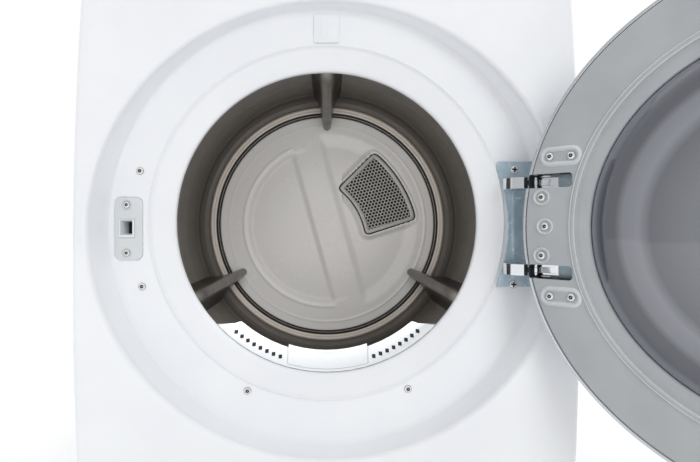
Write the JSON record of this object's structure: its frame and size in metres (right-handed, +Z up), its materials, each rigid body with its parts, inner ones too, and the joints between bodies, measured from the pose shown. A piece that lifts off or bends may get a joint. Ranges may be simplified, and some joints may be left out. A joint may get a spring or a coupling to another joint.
{
  "type": "clothes dryer",
  "caption": "Front-loading tumble dryer with a round glass door swung open, a steel drum with lifters, a perforated air grille and a lift-out lint filter.",
  "frame": {"origin": "centre of the base pan's underside; the levelling feet reach 20 mm below it", "axes": "+X to the right as seen from the front, +Y from the front into the cabinet, +Z up"},
  "size_m": [1.0439, 1.1352, 0.983],
  "materials": {
    "panel_enamel": "gloss white enamel on steel",
    "galvanised_steel": "plain galvanised sheet, satin",
    "foot_rubber": "matte black rubber",
    "black_plastic": "matte black moulded plastic",
    "white_plastic": "semi-gloss white moulded plastic",
    "display_glass": "gloss dark display lens",
    "silver_plastic": "silver painted plastic",
    "drum_enamel": "satin taupe drum enamel",
    "lifter_plastic": "smoky translucent moulded plastic",
    "rear_wall_steel": "satin warm grey coated steel",
    "grille_steel": "perforated satin steel",
    "seal_felt": "dark wool felt",
    "roller_rubber": "black rubber",
    "bright_steel": "bright drawn steel",
    "motor_casing": "painted motor casing",
    "grey_plastic": "satin cool grey moulded plastic",
    "zinc_plate": "blue bright zinc plating",
    "polished_chrome": "polished chrome",
    "door_silver": "silver door trim",
    "smoked_glass": "smoky grey glass"
  },
  "bodies": {
    "cabinet": {"base_pan": "galvanised_steel", "side_panel_left": "panel_enamel", "side_panel_right": "panel_enamel", "rear_panel": "galvanised_steel", "top_panel": "panel_enamel", "front_panel": "panel_enamel", "levelling_foot_1": "foot_rubber", "levelling_foot_2": "foot_rubber", "levelling_foot_3": "foot_rubber", "levelling_foot_4": "foot_rubber", "terminal_cover": "black_plastic", "control_console": "white_plastic", "display_lens": "display_glass", "front_bulkhead": "galvanised_steel", "rear_bulkhead": "rear_wall_steel", "air_grille": "grille_steel", "heater_housing": "galvanised_steel", "front_felt_seal": "seal_felt", "rear_felt_seal": "seal_felt", "roller_shaft_left": "bright_steel", "roller_shaft_right": "bright_steel", "drum_belt": "roller_rubber", "motor": "motor_casing", "blower_housing": "galvanised_steel", "idler_spring": "bright_steel", "exhaust_duct": "galvanised_steel", "lint_duct": "black_plastic", "lint_duct_cover": "white_plastic", "latch_plate": "grey_plastic", "latch_socket": "grey_plastic", "bumper_clip": "white_plastic", "hinge_bracket": "zinc_plate", "hinge_arm_upper": "polished_chrome", "hinge_arm_lower": "polished_chrome", "hinge_pin_upper": "polished_chrome", "hinge_pin_lower": "polished_chrome"},
    "door": {"door_inner_frame": "grey_plastic", "door_outer_frame": "door_silver", "door_hinge_plate": "polished_chrome", "door_glass": "smoked_glass", "door_window": "smoked_glass", "latch_hook": "white_plastic"},
    "drum_body": {"drum": "drum_enamel", "drum_lifter_1": "lifter_plastic", "drum_lifter_2": "lifter_plastic", "drum_lifter_3": "lifter_plastic"},
    "motor_rotor": {"motor_shaft": "bright_steel", "motor_pulley": "bright_steel", "blower_wheel": "black_plastic"},
    "idler_lever": {"idler_arm": "bright_steel"},
    "idler_wheel": {"idler_pulley": "black_plastic"},
    "roller_left": {"rear_roller_left": "roller_rubber"},
    "roller_right": {"rear_roller_right": "roller_rubber"},
    "filter_unit": {"lint_filter": "white_plastic"},
    "knob": {"program_knob": "silver_plastic"},
    "button_1": {"push_button_1": "silver_plastic"},
    "button_2": {"push_button_2": "silver_plastic"},
    "button_3": {"push_button_3": "silver_plastic"},
    "button_4": {"push_button_4": "silver_plastic"}
  },
  "joints": [
    {"name": "door_swing", "type": "hinge", "parent": "cabinet", "child": "door", "pos_m": [0.282, -0.346, 0.4745], "axis": [0, 0, 1], "range_deg": [-136.7, 6]},
    {"name": "drum_spin", "type": "hinge", "parent": "cabinet", "child": "drum_body", "pos_m": [0, 0.03, 0.48], "axis": [0, 1, 0], "continuous": true},
    {"name": "motor_spin", "type": "hinge", "parent": "cabinet", "child": "motor_rotor", "pos_m": [-0.125, -0.1, 0.086], "axis": [0, 1, 0], "continuous": true},
    {"name": "roller_spin_left", "type": "hinge", "parent": "cabinet", "child": "roller_left", "pos_m": [-0.2062, 0.269, 0.18552], "axis": [0, 1, 0], "continuous": true},
    {"name": "roller_spin_right", "type": "hinge", "parent": "cabinet", "child": "roller_right", "pos_m": [0.2062, 0.269, 0.18552], "axis": [0, 1, 0], "continuous": true},
    {"name": "idler_swing", "type": "hinge", "parent": "cabinet", "child": "idler_lever", "pos_m": [-0.09, 0.0135, 0.02], "axis": [0, 1, 0], "range_deg": [0, 8], "stiffness_Nm_per_rad": 20},
    {"name": "idler_spin", "type": "hinge", "parent": "idler_lever", "child": "idler_wheel", "pos_m": [-0.05139, 0, 0.08085], "axis": [0, 1, 0], "continuous": true},
    {"name": "filter_lift", "type": "slide", "parent": "cabinet", "child": "filter_unit", "axis": [0, 0, 1], "range_m": [0, 0.12]},
    {"name": "knob_turn", "type": "hinge", "parent": "cabinet", "child": "knob", "pos_m": [0, -0.33, 0.91], "axis": [0, 1, 0], "continuous": true},
    {"name": "button_press_1", "type": "slide", "parent": "cabinet", "child": "button_1", "axis": [0, 1, 0], "range_m": [0, 0.003], "stiffness_N_per_m": 400},
    {"name": "button_press_2", "type": "slide", "parent": "cabinet", "child": "button_2", "axis": [0, 1, 0], "range_m": [0, 0.003], "stiffness_N_per_m": 400},
    {"name": "button_press_3", "type": "slide", "parent": "cabinet", "child": "button_3", "axis": [0, 1, 0], "range_m": [0, 0.003], "stiffness_N_per_m": 400},
    {"name": "button_press_4", "type": "slide", "parent": "cabinet", "child": "button_4", "axis": [0, 1, 0], "range_m": [0, 0.003], "stiffness_N_per_m": 400}
  ],
  "couplings": [
    {"joint": "motor_spin", "follows": "drum_spin", "ratio": 31.67},
    {"joint": "roller_spin_left", "follows": "drum_spin", "ratio": -9.5647},
    {"joint": "roller_spin_right", "follows": "drum_spin", "ratio": -9.5647},
    {"joint": "idler_spin", "follows": "drum_spin", "ratio": -16.43}
  ]
}
